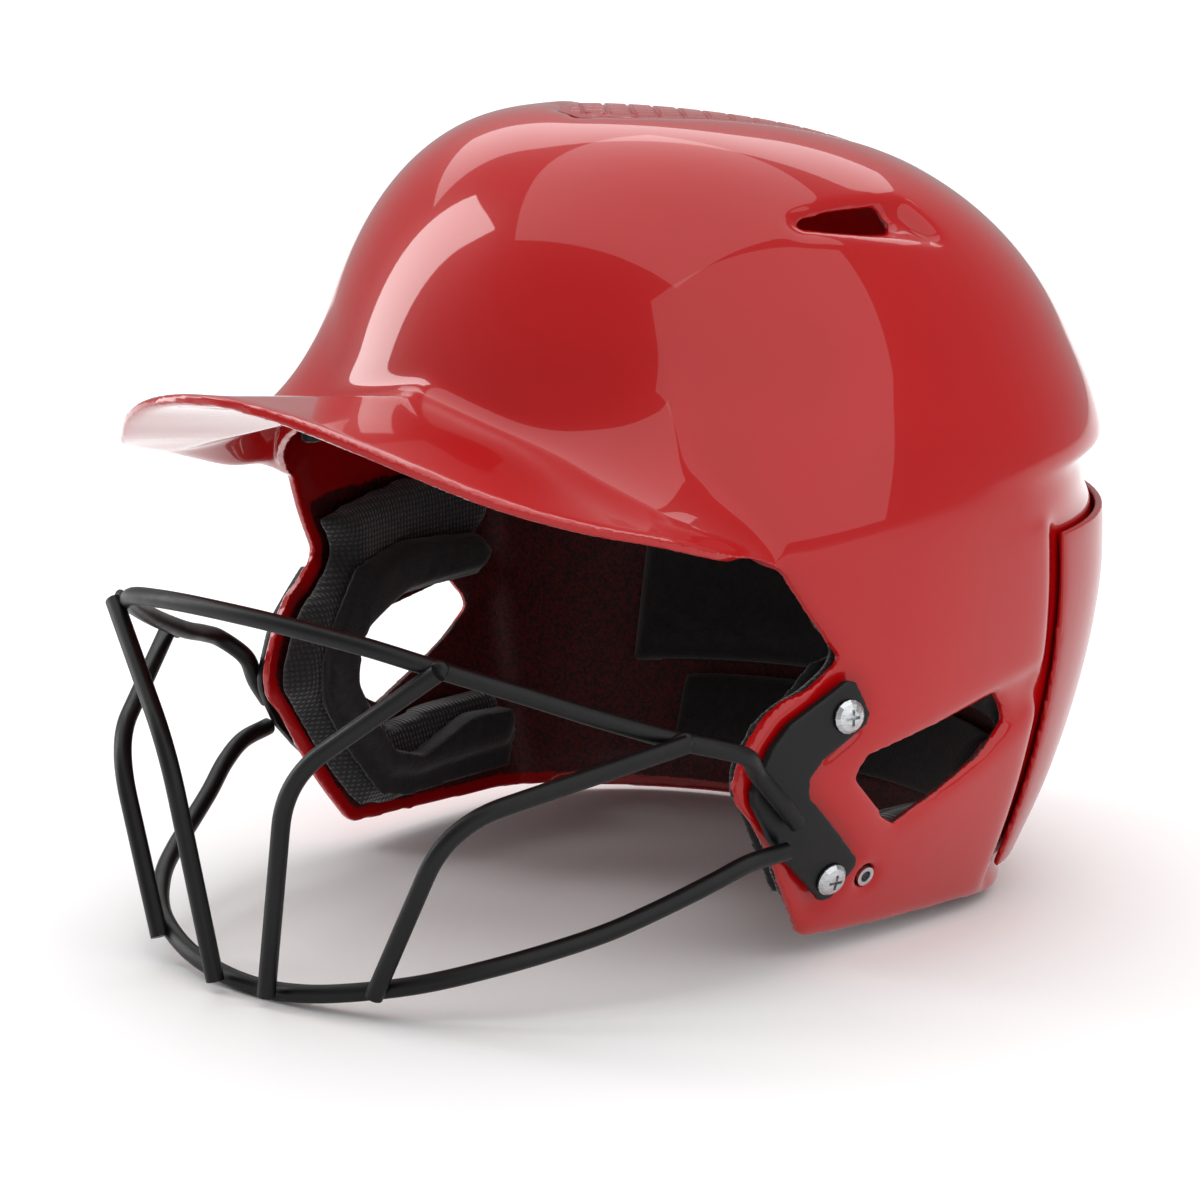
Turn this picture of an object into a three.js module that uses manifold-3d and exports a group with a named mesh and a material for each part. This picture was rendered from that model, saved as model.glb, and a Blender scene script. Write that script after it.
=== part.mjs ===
// Batting helmet with a bolted wire face guard. Millimetres, +Z up, +X forward, +Y the wearer's left.
// The helmet stands on its nape edge and on the jaw bar of the guard, floor at z = 0.
import * as THREE from 'three';
import { mergeVertices } from 'three/addons/utils/BufferGeometryUtils.js';
import Module from 'manifold-3d';

const wasm = await Module();
wasm.setup();
const { Manifold, Mesh: SolidMesh } = wasm;

// ---------- driving dimensions ----------
const CENTRE_X = 48.95;         // dome datum to the middle of the whole object
const EQUATOR_Z = 95;           // widest level of the shell
const DOME_H = 131;             // crown above the equator
const SHELL_T = 3.2;            // shell wall
const TEMPLE = 55;              // degrees round from the front where the brim ends
const WIRE_R = 2.55;            // guard wire radius
const PLATE_T = 2.4;            // guard mounting plate
const FLATNESS = 0.1;           // facets flatter than this are joined
const PAD_GAP = 1.0;            // air between shell and pads
const LEDGE_Z = 129.5;          // lower edge of the rear overhang
const LIP = 2.2;                // flare of that overhang
const PANEL_TOP = 110;          // top of the rear cover
const PANEL_T = 2.6;            // rear cover thickness

const RED = { color: 0xa8161a, roughness: 0.22, metalness: 0 };
const DEEP_RED = { color: 0x97131a, roughness: 0.3, metalness: 0 };
const BLACK = { color: 0x101012, roughness: 0.45, metalness: 0.1 };
const FABRIC = { color: 0x17171a, roughness: 0.95, metalness: 0 };
const FOAM = { color: 0x1d1d20, roughness: 0.9, metalness: 0 };
const STEEL = { color: 0xb9bcc0, roughness: 0.3, metalness: 1 };

// ---------- helmet surface ----------
const rad = THREE.MathUtils.degToRad;
const deg = THREE.MathUtils.radToDeg;
const ease = (a, b, x) => {
  const u = Math.min(1, Math.max(0, (x - a) / (b - a)));
  return u * u * (3 - 2 * u);
};

// Horizontal section at a latitude: 0 at the crown, 90 at the equator, 90 + depth below it.
function section(lat) {
  if (lat <= 90) {
    const s = Math.sin(rad(lat));
    const low = ease(0.88, 1, s);
    return { mid: 54 * (1 - s), front: 54 + 75 * s ** 0.97, back: 54 - 159 * s ** 0.9,
      side: 107 * s ** 0.66 + 4 * low, power: 2.25 + 0.42 * low, rearPower: 2.25 - 0.2 * low,
      z: EQUATOR_Z + DOME_H * Math.max(Math.cos(rad(lat)), 0) ** 0.85 };
  }
  const w = (lat - 90) / EQUATOR_Z;
  return { mid: 0, front: 129 + 26 * ease(0, 0.6, w), back: -105 + 47 * w ** 1.47,
    side: 111 - 21 * w * w, power: 2.67, rearPower: 2.05, z: 185 - lat };
}
const latitude = (z) => (z <= EQUATOR_Z ? 185 - z
  : deg(Math.acos(Math.min(1, ((z - EQUATOR_Z) / DOME_H) ** (1 / 0.85)))));

// Point of the outer surface at an angle round from the front and a latitude.
function surface(angle, lat) {
  const q = section(lat);
  const c = Math.cos(rad(angle));
  const s = Math.sin(rad(angle));
  const power = c >= 0 ? q.power : q.rearPower;
  const reach = (c >= 0 ? q.front - q.mid : q.back - q.mid) * Math.abs(c) ** (2 / power);
  return new THREE.Vector3(q.mid + reach, Math.sign(s) * q.side * Math.abs(s) ** (2 / power), q.z);
}
function surfaceNormal(angle, lat) {
  const around = surface(angle + 1, lat).sub(surface(angle - 1, lat));
  const down = surface(angle, lat + 1).sub(surface(angle, lat - 1));
  return down.cross(around).normalize();
}
const inset = (angle, lat, depth) =>
  surface(angle, lat).addScaledVector(surfaceNormal(angle, lat), -depth);

// ---------- closed solids ----------
// A grid of outer points and one of inner points, stitched round the rim into one closed body.
function slab(outer, inner) {
  const rows = outer.length;
  const cols = outer[0].length;
  const points = [...outer.flat(), ...inner.flat()];
  const at = (side, i, j) => side * rows * cols + i * cols + j;
  const faces = [];
  const quad = (a, b, c, d) => faces.push([a, b, c], [a, c, d]);
  for (let i = 0; i + 1 < rows; i++) {
    for (let j = 0; j + 1 < cols; j++) {
      quad(at(0, i, j), at(0, i + 1, j), at(0, i + 1, j + 1), at(0, i, j + 1));
      quad(at(1, i, j), at(1, i, j + 1), at(1, i + 1, j + 1), at(1, i + 1, j));
    }
    quad(at(0, i, 0), at(1, i, 0), at(1, i + 1, 0), at(0, i + 1, 0));
    quad(at(0, i, cols - 1), at(0, i + 1, cols - 1), at(1, i + 1, cols - 1), at(1, i, cols - 1));
  }
  for (let j = 0; j + 1 < cols; j++) {
    quad(at(0, 0, j), at(0, 0, j + 1), at(1, 0, j + 1), at(1, 0, j));
    quad(at(0, rows - 1, j), at(1, rows - 1, j), at(1, rows - 1, j + 1), at(0, rows - 1, j + 1));
  }
  return solid(points, faces);
}

// Points and faces to a manifold; coincident points are joined and empty faces dropped.
function solid(points, faces) {
  const keys = new Map();
  const verts = [];
  const index = points.map((p) => {
    const key = [p.x, p.y, p.z].map((v) => Math.round(v * 200)).join();
    if (!keys.has(key)) {
      keys.set(key, verts.length / 3);
      verts.push(p.x, p.y, p.z);
    }
    return keys.get(key);
  });
  const tris = faces.map((t) => t.map((k) => index[k]))
    .filter(([a, b, c]) => a !== b && b !== c && c !== a);
  let body = new Manifold(new SolidMesh({ numProp: 3, vertProperties: new Float32Array(verts),
    triVerts: new Uint32Array(tris.flat()) }));
  if (body.volume() < 0) {
    body = new Manifold(new SolidMesh({ numProp: 3, vertProperties: new Float32Array(verts),
      triVerts: new Uint32Array(tris.map(([a, b, c]) => [a, c, b]).flat()) }));
  }
  return body;
}

// Any three.js geometry as a manifold.
function toSolid(geometry) {
  const bare = new THREE.BufferGeometry();
  bare.setAttribute('position', geometry.getAttribute('position').clone());
  if (geometry.index) bare.setIndex(geometry.index.clone());
  const merged = mergeVertices(bare, 1e-4);
  const pos = merged.getAttribute('position');
  const points = Array.from({ length: pos.count },
    (_, i) => new THREE.Vector3(pos.getX(i), pos.getY(i), pos.getZ(i)));
  const faces = Array.from({ length: merged.index.count / 3 },
    (_, i) => [0, 1, 2].map((k) => merged.index.getX(3 * i + k)));
  return solid(points, faces);
}

function toGeometry(body) {
  const mesh = body.simplify(FLATNESS).getMesh();
  const geometry = new THREE.BufferGeometry();
  const xyz = new Float32Array(mesh.numVert * 3);
  for (let i = 0; i < mesh.numVert; i++) {
    for (let k = 0; k < 3; k++) xyz[3 * i + k] = mesh.vertProperties[i * mesh.numProp + k];
  }
  geometry.setAttribute('position', new THREE.BufferAttribute(xyz, 3));
  geometry.setIndex(Array.from(mesh.triVerts));
  geometry.translate(-CENTRE_X, 0, 0);
  geometry.computeVertexNormals();
  return geometry;
}

// Side-view outline (x, z) pushed straight through from y0 to y1.
function prism(outline, y0, y1) {
  const shape = new THREE.Shape(outline.map(([x, z]) => new THREE.Vector2(x, z)));
  const geometry = new THREE.ExtrudeGeometry(shape, { depth: y1 - y0, bevelEnabled: false });
  geometry.rotateX(Math.PI / 2);
  geometry.translate(0, y1, 0);
  return toSolid(geometry);
}

// Curved sheet over rows of latitudes and columns of angles, from one depth to another.
function sheet(angles, lats, depthOut, depthIn) {
  const grid = (depth) => lats.map((lat) => angles.map((a) => inset(a, lat, depth)));
  return slab(grid(depthOut), grid(depthIn));
}
const spread = ([from, to], step) => {
  const n = Math.ceil(Math.abs(to - from) / step);
  return Array.from({ length: n + 1 }, (_, i) => from + (to - from) * i / n);
};
const patch = (angles, lats, depthOut, depthIn, stepA = 6, stepL = 6) =>
  sheet(spread(angles, stepA), spread(lats, stepL), depthOut, depthIn);

const disc = (r, h, n = 24) => new THREE.CylinderGeometry(r, r, h, n);

// Turn a geometry built along +Y to point along a direction, then place it.
function along(geometry, dir, at) {
  const turn = new THREE.Quaternion().setFromUnitVectors(new THREE.Vector3(0, 1, 0), dir);
  return geometry.applyQuaternion(turn).translate(at.x, at.y, at.z);
}
const mirrored = (body) => body.mirror([0, 1, 0]);

// ---------- shell ----------
// Brim: edge points by angle (degrees round from the front), and the height of its root.
const BRIM_EDGE = [[0, 200, 0, 165.5], [7, 198.5, 20, 163.5], [14, 194.5, 36, 159.5],
  [21, 185.5, 53, 152.5], [28, 172, 70, 144], [35, 156, 86.5, 137.2], [42, 134, 94, 131],
  [49, 109, 97, 123], [TEMPLE, 84.5, 95.5, 114.5]];
const BRIM_ROOT = [[0, 155], [8, 150.5], [18, 145], [28, 138.5], [38, 130.5], [48, 121.5],
  [TEMPLE, 114.5]];

// Smooth interpolation through rows of [x, ...values].
function through(rows, x) {
  const k = Math.min(rows.length - 2, Math.max(0, rows.findIndex((r) => r[0] > x) - 1));
  const i = x >= rows[rows.length - 1][0] ? rows.length - 2 : k;
  const [a, b] = [rows[i], rows[i + 1]];
  const before = rows[i - 1] ?? a;
  const after = rows[i + 2] ?? b;
  const h = b[0] - a[0];
  const u = (x - a[0]) / h;
  return a.slice(1).map((p, n) => {
    const q = b[n + 1];
    const m0 = (q - before[n + 1]) / (b[0] - before[0]) * h;
    const m1 = (after[n + 1] - p) / (after[0] - a[0]) * h;
    return (2 * u ** 3 - 3 * u ** 2 + 1) * p + (u ** 3 - 2 * u ** 2 + u) * m0
      + (3 * u ** 2 - 2 * u ** 3) * q + (u ** 3 - u ** 2) * m1;
  });
}

// Brim surface: 0 at the root on the dome, 1 at the edge; softly filleted into the dome.
function brimPoint(angle, s) {
  const side = Math.sign(angle) || 1;
  const a = Math.abs(angle);
  const lat = latitude(through(BRIM_ROOT, a)[0]);
  const root = surface(a, lat);
  const edge = new THREE.Vector3(...through(BRIM_EDGE, a));
  const width = root.distanceTo(edge);
  const fillet = Math.min(6 + 34 * ease(12, 48, a), 0.95 * width);
  const above = surface(a, lat - 0.55 * fillet);
  const knee = root.clone().lerp(edge, width > 0 ? fillet / width : 0);
  const split = 0.4;
  const p = s < split
    ? new THREE.QuadraticBezierCurve3(above, root, knee).getPoint(s / split)
    : knee.lerp(edge, (s - split) / (1 - split));
  p.y *= side;
  return p;
}

function buildBrim() {
  const angles = Array.from({ length: 23 }, (_, j) => -TEMPLE + TEMPLE * 2 * j / 22);
  const steps = [0, 0.13, 0.27, 0.4, 0.6, 0.8, 1];
  const top = steps.map((s) => angles.map((a) => brimPoint(a, s)));
  const normal = (i, j) => {
    const a = top[Math.min(i + 1, steps.length - 1)][j].clone().sub(top[Math.max(i - 1, 0)][j]);
    const b = top[i][Math.min(j + 1, angles.length - 1)].clone().sub(top[i][Math.max(j - 1, 0)]);
    return a.cross(b).normalize();
  };
  const under = top.map((row, i) => row.map((p, j) => {
    const n = normal(i, j);
    const edge = Math.abs(angles[j]) >= TEMPLE - 3;
    const out = edge ? surfaceNormal(angles[j], latitude(p.z)) : n;
    return p.clone().addScaledVector(out, -SHELL_T * (i === 0 ? 0.95 : 1));
  }));
  return slab(top, under);
}

const WALL_LATS = [105, 122, 140, 160, 174, 184.8];
// Ring-by-ring shell: full dome and wall, open at the bottom.
function buildBowl() {
  const lats = [0, 10, 20, 30, 40, 50, 60, 70, 77.7, 78.7, 83.7, 85.1, 90, ...WALL_LATS];
  const angles = spread([0, 360], 7.2);
  const depth = (angle, lat) => rearInset(angle, lat);
  const outer = lats.map((lat) => angles.map((a) => inset(a, Math.max(lat, 0.01), depth(a, lat))));
  const inner = lats.map((lat) => angles.map((a) => inset(a, Math.max(lat, 0.01), SHELL_T
    + depth(a, lat))));
  const crown = surface(0, 0);
  outer[0] = outer[0].map(() => crown);
  inner[0] = inner[0].map(() => crown.clone().setZ(crown.z - SHELL_T));
  return slab(outer, inner);
}

// How far the shell steps in: a groove under the rear overhang and a seat for the rear cover.
function rearInset(angle, lat) {
  const round = angle > 180 ? 360 - angle : angle;
  const groove = 4.6 * ease(86, 128, round);
  const seat = (PANEL_T + 0.1) * ease(94, 100, round);
  const start = latitude(LEDGE_Z);
  const end = latitude(PANEL_TOP + 3);
  const into = ease(start - 0.2, start + 0.6, lat);
  const out = ease(end - 0.6, end + 0.6, lat);
  const lip = LIP * ease(84, 128, round) * ease(start - 14, start - 1, lat) * (1 - into);
  return groove * into * (1 - out) + seat * out - lip;
}

// Side-view outline of everything in front of the ear flaps, traced down the flap edge.
const FLAP_EDGE = [[84.5, 113.8], [77.3, 101.4], [70.5, 91], [68.4, 88.6], [70, 86.2], [77.5, 80.8],
  [84.8, 78.4], [90, 73.8], [94.6, 67.6], [98.2, 60.5], [99, 56.5], [98.2, 51], [91.9, 43.6],
  [84.5, 32], [77.5, 20.4], [69.5, 8.8], [66.5, 6.8], [55, 6.2]];
const BELOW = [[30, 5], [5, 4.5], [-12, 3], [-30, 1.2], [-52, 0], [-120, -0.01]];

function faceOpening() {
  const front = [...FLAP_EDGE, ...BELOW, [-120, -30], [250, -30], [250, 116.5], [92, 116.5]];
  return prism(front, -160, 160);
}

// Everything under the brim root in front of the temples, so the dome wall ends in the brim.
function underBrim() {
  const angles = Array.from({ length: 21 }, (_, j) => (TEMPLE - 1) * (-1 + 2 * j / 20));
  const edgeOf = (a, k) => {
    const z = through(BRIM_ROOT, Math.abs(a))[0];
    const p = surface(a, latitude(z));
    const n = surfaceNormal(a, 88).setZ(0).normalize();
    return p.addScaledVector(n, k).setZ(z - 2.2);
  };
  const top = [-22, 14].map((k) => angles.map((a) => edgeOf(a, k)));
  const base = top.map((row) => row.map((p) => p.clone().setZ(112)));
  return slab(top, base);
}

const EAR_HOLE = [[61.7, 53.8], [58.3, 59.3], [44.6, 61.8], [6.7, 68.3], [1.3, 61.7], [0.6, 58.6],
  [12.7, 50.2], [29, 43], [43.6, 37.5], [48.2, 39.9]];
// Plan outline (x, y) of the left upper vent.
const VENT_HOLE = [[55.3, 72.9], [38.3, 75.7], [21.6, 77.3], [17.4, 83], [30, 81.8], [45.4, 77.7]];
function ventCutter() {
  const shape = new THREE.Shape(VENT_HOLE.map(([x, y]) => new THREE.Vector2(x, y)));
  return toSolid(new THREE.ExtrudeGeometry(shape, { depth: 85, bevelEnabled: false })
    .translate(0, 0, 150));
}

// ---------- parts list ----------
const parts = [];
function add(name, body, material, look) {
  const mesh = new THREE.Mesh(toGeometry(body), new THREE.MeshStandardMaterial(look));
  mesh.name = name;
  mesh.material.name = material;
  parts.push(mesh);
}
// A left-hand piece and its mirror image.
function addPair(name, body, material, look) {
  add(`${name}_left`, body, material, look);
  add(`${name}_right`, mirrored(body), material, look);
}

// ---------- crown recess and its textured panel ----------
const CROWN = [[62, 0], [57, 13], [46, 22], [28, 33], [6, 43], [-20, 46], [-42, 38], [-50, 20],
  [-52, 0]];
const CROWN_SINK = 2.2;
function crownPrism(grow) {
  const mid = 8;
  const half = CROWN.map(([x, y]) => [mid + (x - mid) * grow, y * grow]);
  const ring = [...half, ...half.slice(1, -1).reverse().map(([x, y]) => [x, -y])];
  const shape = new THREE.Shape(ring.map(([x, y]) => new THREE.Vector2(x, y)));
  return toSolid(new THREE.ExtrudeGeometry(shape, { depth: 80, bevelEnabled: false })
    .translate(0, 0, 170));
}
function crownBand(depthOut, depthIn) {
  const lats = [0, 12, 24, 35, 46];
  const angles = spread([0, 360], 15);
  const grid = (d) => lats.map((lat) => angles.map((a) =>
    (lat === 0 ? surface(0, 0).setZ(EQUATOR_Z + DOME_H - d) : inset(a, lat, d))));
  return slab(grid(depthOut), grid(depthIn));
}

// ---------- guard hardware ----------
const PLATE_GAP = 0.4;                      // shell face to plate
const SCREW_R = 2.2;                        // mask screw shank
const HEAD_R = 4.75;
const NUT_BORE_R = 2.4;
const SCREWS = { upper: [68.5, 73], lower: [67, 26.5] };
const INSERT_AT = [49.8, 22.1];
const INSERT_R = 2.9;

// Surface position and outward normal at a side-view point of the left flap.
function onFlap([x, z], depth = 0) {
  const lat = latitude(z);
  const q = section(lat);
  const angle = deg(Math.acos(((x - q.mid) / (q.front - q.mid)) ** (q.power / 2)));
  return { at: inset(angle, lat, depth), normal: surfaceNormal(angle, lat) };
}
// Cylinder across the flap wall, between two depths below the outer face.
function crossPin(place, r, depthOut, depthIn, n = 16) {
  const { at, normal } = onFlap(place);
  const mid = at.clone().addScaledVector(normal, -(depthOut + depthIn) / 2);
  return toSolid(along(disc(r, depthIn - depthOut, n), normal, mid));
}
const PLATE = [[69, 82.8], [66.5, 82], [61.8, 72.5], [63, 69.5], [76.5, 61.5], [80.3, 56.5],
  [79.7, 51.2], [58.9, 30], [58.7, 27.5], [65, 19], [68, 18.8], [82.4, 32.1], [90, 40],
  [96.5, 51.5], [96.8, 55], [95, 59.5], [91, 67], [86, 72.7]];

function maskPlate() {
  let plate = patch([46, 82], [96, 172], -PLATE_GAP - PLATE_T, -PLATE_GAP, 4, 7)
    .intersect(prism(PLATE, 40, 140));
  for (const place of Object.values(SCREWS)) {
    plate = plate.subtract(crossPin(place, SCREW_R + 0.35, -8, 4));
  }
  return plate;
}
// Truss-head screw with a cross recess.
function maskScrew(place) {
  const seat = PLATE_GAP + PLATE_T + 0.4;
  const profile = [[0, -SHELL_T - 2.1], [SCREW_R, -SHELL_T - 2.1], [SCREW_R, seat], [HEAD_R, seat],
    [HEAD_R, seat + 0.5], [3.8, seat + 1.5], [2, seat + 2.2], [0, seat + 2.3]];
  let screw = toSolid(new THREE.LatheGeometry(profile.map(([r, y]) => new THREE.Vector2(r, y)), 16));
  for (const [w, d] of [[4.6, 0.9], [0.9, 4.6]]) {
    screw = screw.subtract(toSolid(new THREE.BoxGeometry(w, 2.4, d).translate(0, seat + 2.2, 0)));
  }
  const { at, normal } = onFlap(place);
  const turn = new THREE.Matrix4().makeRotationFromQuaternion(
    new THREE.Quaternion().setFromUnitVectors(new THREE.Vector3(0, 1, 0), normal)).setPosition(at);
  return screw.transform(turn.elements);
}
function backNut(place) {
  return crossPin(place, 6.5, SHELL_T + 0.9, SHELL_T + 2.1)
    .subtract(crossPin(place, NUT_BORE_R, 0, SHELL_T + 4));
}
function accessoryInsert() {
  return crossPin(INSERT_AT, INSERT_R, 0.2, SHELL_T + 1.6)
    .subtract(crossPin(INSERT_AT, 1.7, -3, SHELL_T + 0.6));
}

// ---------- wire guard ----------
const WIRE_OUT = -(PLATE_GAP + PLATE_T + 0.7 + WIRE_R);
const onPlate = (x, z) => onFlap([x, z], WIRE_OUT).at;
const mirrorY = (p) => new THREE.Vector3(p.x, -p.y, p.z);
function wire(curve, steps) {
  const ring = Array.from({ length: 8 }, (_, k) => new THREE.Vector2(
    WIRE_R * Math.cos(rad(45 * k)), WIRE_R * Math.sin(rad(45 * k))));
  return toSolid(new THREE.ExtrudeGeometry(new THREE.Shape(ring),
    { steps, extrudePath: curve, bevelEnabled: false }));
}
// One hoop right across the face, from the left plate to the right one.
function hoop(leftHalf, steps) {
  const half = leftHalf.map((p) => (Array.isArray(p) ? new THREE.Vector3(...p) : p));
  const full = [...half, ...half.slice(0, -1).reverse().map(mirrorY)];
  return wire(new THREE.CatmullRomCurve3(full, false, 'centripetal'), steps);
}
// Straight wire with one rounded bend.
function bentWire(from, bend, to, radius) {
  const [a, b, c] = [from, bend, to].map((p) => new THREE.Vector3(...p));
  const inA = b.clone().add(a.clone().sub(b).setLength(radius));
  const inC = b.clone().add(c.clone().sub(b).setLength(radius));
  const path = new THREE.CurvePath();
  path.add(new THREE.LineCurve3(a, inA));
  path.add(new THREE.QuadraticBezierCurve3(inA, b, inC));
  path.add(new THREE.LineCurve3(inC, c));
  return wire(path, 16);
}
const EYE_BAR = [onPlate(84.5, 46.5), onPlate(90, 53), onPlate(96, 61), [106, 101.6, 67.8],
  [114, 99.6, 71], [126, 94, 74.9], [146, 84, 83], [163, 73.6, 90.6], [180, 58.9, 98.2],
  [190.6, 45, 103.4], [196.7, 30, 106.2], [199.9, 15, 107.7], [200.8, 0, 108.1]];
const JAW_BAR = [onPlate(86.5, 39.4), [101, 98, 36.8], [111, 94.6, 33.2], [124, 88, 27.6],
  [137.6, 81.3, 22.6], [150.5, 74.2, 19], [163.6, 65.2, 15.4], [177.6, 50.5, 10.6],
  [186.7, 32, 6.4], [189.8, 16.5, 3.7], [190.4, 0, 0.96 * WIRE_R]];

// ---------- padding ----------
const EAR_PAD = [[74, 99.5], [69, 93.5], [65.6, 88.6], [68, 84.4], [76.8, 78.8], [84, 76.4],
  [88.7, 72], [92.6, 66.2], [96, 59.6], [96.6, 56.3], [95.9, 51.9], [89.8, 44.8], [82.3, 33],
  [75.5, 21.6], [67.5, 12], [52, 10.5], [10, 10], [0, 22], [2, 36],
  [30, 36], [52, 33], [66, 52], [60, 66], [40, 70], [8, 76], [-6, 88], [-4, 100], [30, 104]];
const EAR_CUSHION = [[64, 84], [40, 88], [8, 85], [1, 78], [6, 71.5], [44, 71], [68, 64], [72, 52],
  [60, 30], [48, 26], [22, 33], [6, 32], [1, 24], [8, 15], [52, 14], [66, 17], [78, 34], [86, 48],
  [85, 60], [76, 72]];
const EAR_OUT = SHELL_T + 2.8;
const EAR_MID = EAR_OUT + 9;
const EAR_IN = EAR_MID + 7.5;
const flapPatch = (outline, d0, d1) => patch([40, 108], [84, 176], d0, d1, 5, 7)
  .intersect(prism(outline, 30, 140));

// ---------- assembly ----------
let shell = buildBowl().subtract(underBrim()).add(buildBrim()).subtract(faceOpening());
shell = shell.subtract(crownBand(-2, CROWN_SINK).intersect(crownPrism(1)));
let leftCuts = prism(EAR_HOLE, 60, 160).add(ventCutter())
  .add(crossPin(INSERT_AT, INSERT_R + 0.3, -8, 8));
for (const place of Object.values(SCREWS)) leftCuts = leftCuts.add(crossPin(place, 2.55, -8, 8));
shell = shell.subtract(leftCuts).subtract(mirrored(leftCuts));

add('shell', shell, 'gloss_red', RED);
add('rear_cover', sheet(spread([100.8, 259.2], 7.2), [latitude(PANEL_TOP), 90, ...WALL_LATS.slice(0, 5)],
  -0.3, PANEL_T - 0.9), 'satin_red', DEEP_RED);
add('crown_panel', crownBand(0.8, CROWN_SINK - 0.35).intersect(crownPrism(0.985)), 'satin_red',
  DEEP_RED);

addPair('mask_plate', maskPlate(), 'guard_black', BLACK);
for (const [level, place] of Object.entries(SCREWS)) {
  addPair(`${level}_screw`, maskScrew(place), 'screw_steel', STEEL);
  addPair(`${level}_nut`, backNut(place), 'screw_steel', STEEL);
}
addPair('accessory_insert', accessoryInsert(), 'screw_steel', STEEL);
add('eye_bar', hoop(EYE_BAR, 44), 'guard_black', BLACK);
add('jaw_bar', hoop(JAW_BAR, 34), 'guard_black', BLACK);
addPair('inner_bar', bentWire([183.7, 63, 98.2], [200.2, 22.6, 66], [196, 9.9, 3.2], 14),
  'guard_black', BLACK);
addPair('outer_bar', bentWire([127.6, 99.8, 75.3], [181.4, 63.8, 57.2], [189.4, 42.5, 7.4], 16),
  'guard_black', BLACK);

addPair('ear_pad', flapPatch(EAR_PAD, EAR_OUT, EAR_MID), 'pad_fabric', FABRIC);
addPair('ear_cushion', flapPatch(EAR_CUSHION, EAR_MID + 0.4, EAR_IN), 'pad_fabric', FABRIC);
add('forehead_pad', patch([-38, 38], [50, 63], SHELL_T + PAD_GAP, SHELL_T + 12, 7, 6.5),
  'pad_fabric', FABRIC);
add('crown_pad', crownBand(SHELL_T + PAD_GAP, SHELL_T + 11).intersect(crownPrism(0.8)),
  'pad_foam', FOAM);
addPair('side_pad', patch([52, 84], [50, 80], SHELL_T + PAD_GAP, SHELL_T + 10, 8, 7.5),
  'pad_foam', FOAM);
add('rear_pad', patch([128, 232], [92, 150], SHELL_T + 5.2, SHELL_T + 17, 8, 10),
  'pad_fabric', FABRIC);
add('nape_pad', patch([140, 220], [154, 176], SHELL_T + 5.2, SHELL_T + 13, 8, 7.5),
  'pad_fabric', FABRIC);

const helmet = new THREE.Group();
helmet.name = 'batting_helmet';
helmet.add(...parts);
export default helmet;
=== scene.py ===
# Batting helmet with a bolted wire face guard: the looks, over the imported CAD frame.
# Lengths in the helpers are millimetres on the helmet's own datum (dome axis x = 0, floor z = 0),
# and go to metres in the row frame by metres().
import math
import bmesh
import bpy
import numpy as np
from mathutils import Matrix, Vector


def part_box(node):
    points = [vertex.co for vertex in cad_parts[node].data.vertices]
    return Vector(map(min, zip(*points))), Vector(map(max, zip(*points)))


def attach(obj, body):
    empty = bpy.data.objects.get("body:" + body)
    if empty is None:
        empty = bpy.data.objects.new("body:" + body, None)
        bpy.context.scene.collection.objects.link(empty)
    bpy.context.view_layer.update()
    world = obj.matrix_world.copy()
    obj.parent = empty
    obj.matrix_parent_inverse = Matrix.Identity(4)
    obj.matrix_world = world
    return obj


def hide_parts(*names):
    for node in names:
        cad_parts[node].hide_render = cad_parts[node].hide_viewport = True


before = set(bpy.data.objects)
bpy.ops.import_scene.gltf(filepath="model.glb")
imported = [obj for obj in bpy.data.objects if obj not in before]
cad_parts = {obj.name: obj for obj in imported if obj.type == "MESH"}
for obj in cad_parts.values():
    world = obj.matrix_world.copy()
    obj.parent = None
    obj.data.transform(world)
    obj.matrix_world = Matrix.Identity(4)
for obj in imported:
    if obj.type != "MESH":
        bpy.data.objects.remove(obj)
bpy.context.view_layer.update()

# ---------- driving values ----------
EQUATOR_Z = 95.0            # widest level of the shell
DOME_H = 131.0              # crown above the equator
SHELL_T = 3.2               # shell wall
TEMPLE = 55.0               # degrees round from the front where the brim ends
LEDGE_Z = 129.5             # lower edge of the rear overhang
LIP = 2.2                   # flare of that overhang
PANEL_TOP = 110.0           # top of the rear cover
PANEL_T = 2.6
PLATE_GAP = 0.4
PLATE_T = 2.4
WIRE_R = 2.55
GLOSS_RIM = 4               # painted rim of the face opening, inside
BOLT_HOLE_R = 2.55          # clearance for a guard screw
VOXEL = 0.8
BODY = "helmet"

# The jaw bar's front is 190.4 mm ahead of the dome axis, plus the wire's radius.
DATUM_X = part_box("jaw_bar")[1][0] * 1000 - 190.4 - WIRE_R


def metres(points):
    return (np.asarray(points, float) + [DATUM_X, 0, 0]) / 1000


def ease(a, b, x):
    u = np.clip((x - a) / (b - a), 0, 1)
    return u * u * (3 - 2 * u)


# ---------- helmet surface ----------
def section(lat):
    """Horizontal section at a latitude: 0 crown, 90 equator, 90 + depth below it."""
    lat = np.asarray(lat, float)
    s = np.sin(np.radians(np.clip(lat, 0, 90)))
    c = np.cos(np.radians(np.clip(lat, 0, 90)))
    low = ease(0.88, 1, s)
    w = np.clip((lat - 90) / EQUATOR_Z, 0, 1.1)
    wall = lat > 90
    mid = 54 * (1 - s)
    front = np.where(wall, 129 + 26 * ease(0, 0.6, w), 54 + 75 * s ** 0.97)
    back = np.where(wall, -105 + 47 * w ** 1.47, 54 - 159 * s ** 0.9)
    side = np.where(wall, 111 - 21 * w * w, 107 * s ** 0.66 + 4 * low)
    z = np.where(wall, 185 - lat, EQUATOR_Z + DOME_H * np.clip(c, 0, 1) ** 0.85)
    return mid, front, back, side, 2.25 + 0.42 * low, 2.25 - 0.2 * low, z


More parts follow.
